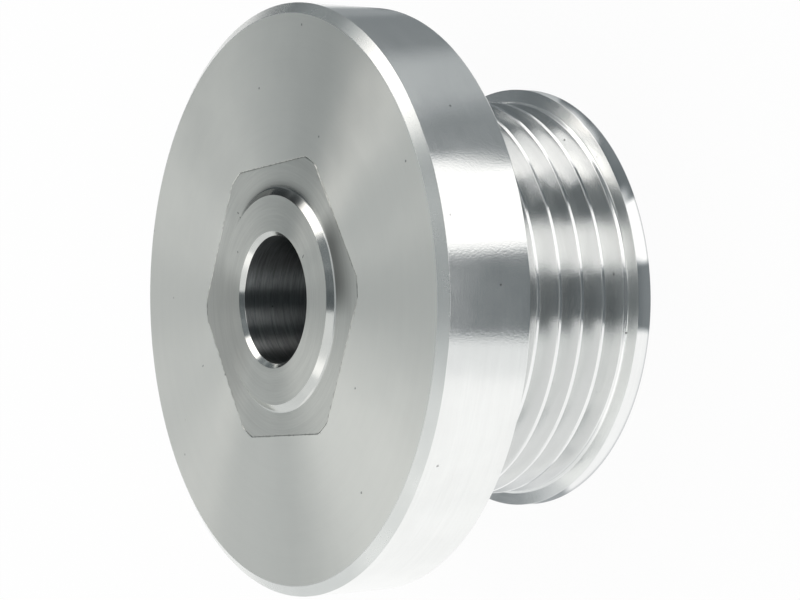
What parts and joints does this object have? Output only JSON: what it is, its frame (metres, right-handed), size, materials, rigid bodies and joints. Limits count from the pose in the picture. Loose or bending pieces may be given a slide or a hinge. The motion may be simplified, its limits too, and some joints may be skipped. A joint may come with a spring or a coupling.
{
  "type": "alternator belt pulley",
  "caption": "Solid pulley with a ribbed belt barrel, a rear flange, a heavy smooth front disc on a hexagonal spigot, and a plain shaft bore.",
  "frame": {"origin": "on the bore's axis, in the plane of the rear end that the pulley stands on", "axes": "+Z along the bore's axis, from the rear end towards the front disc and the nose boss; two corners of the hexagon on the Y axis"},
  "size_m": [0.0786, 0.0786, 0.0405],
  "materials": {
    "hub_steel": "bright turned steel",
    "disc_steel": "fine turned steel"
  },
  "bodies": {
    "root": {"ribbed_hub": "hub_steel", "front_disc": "disc_steel"}
  },
  "joints": []
}
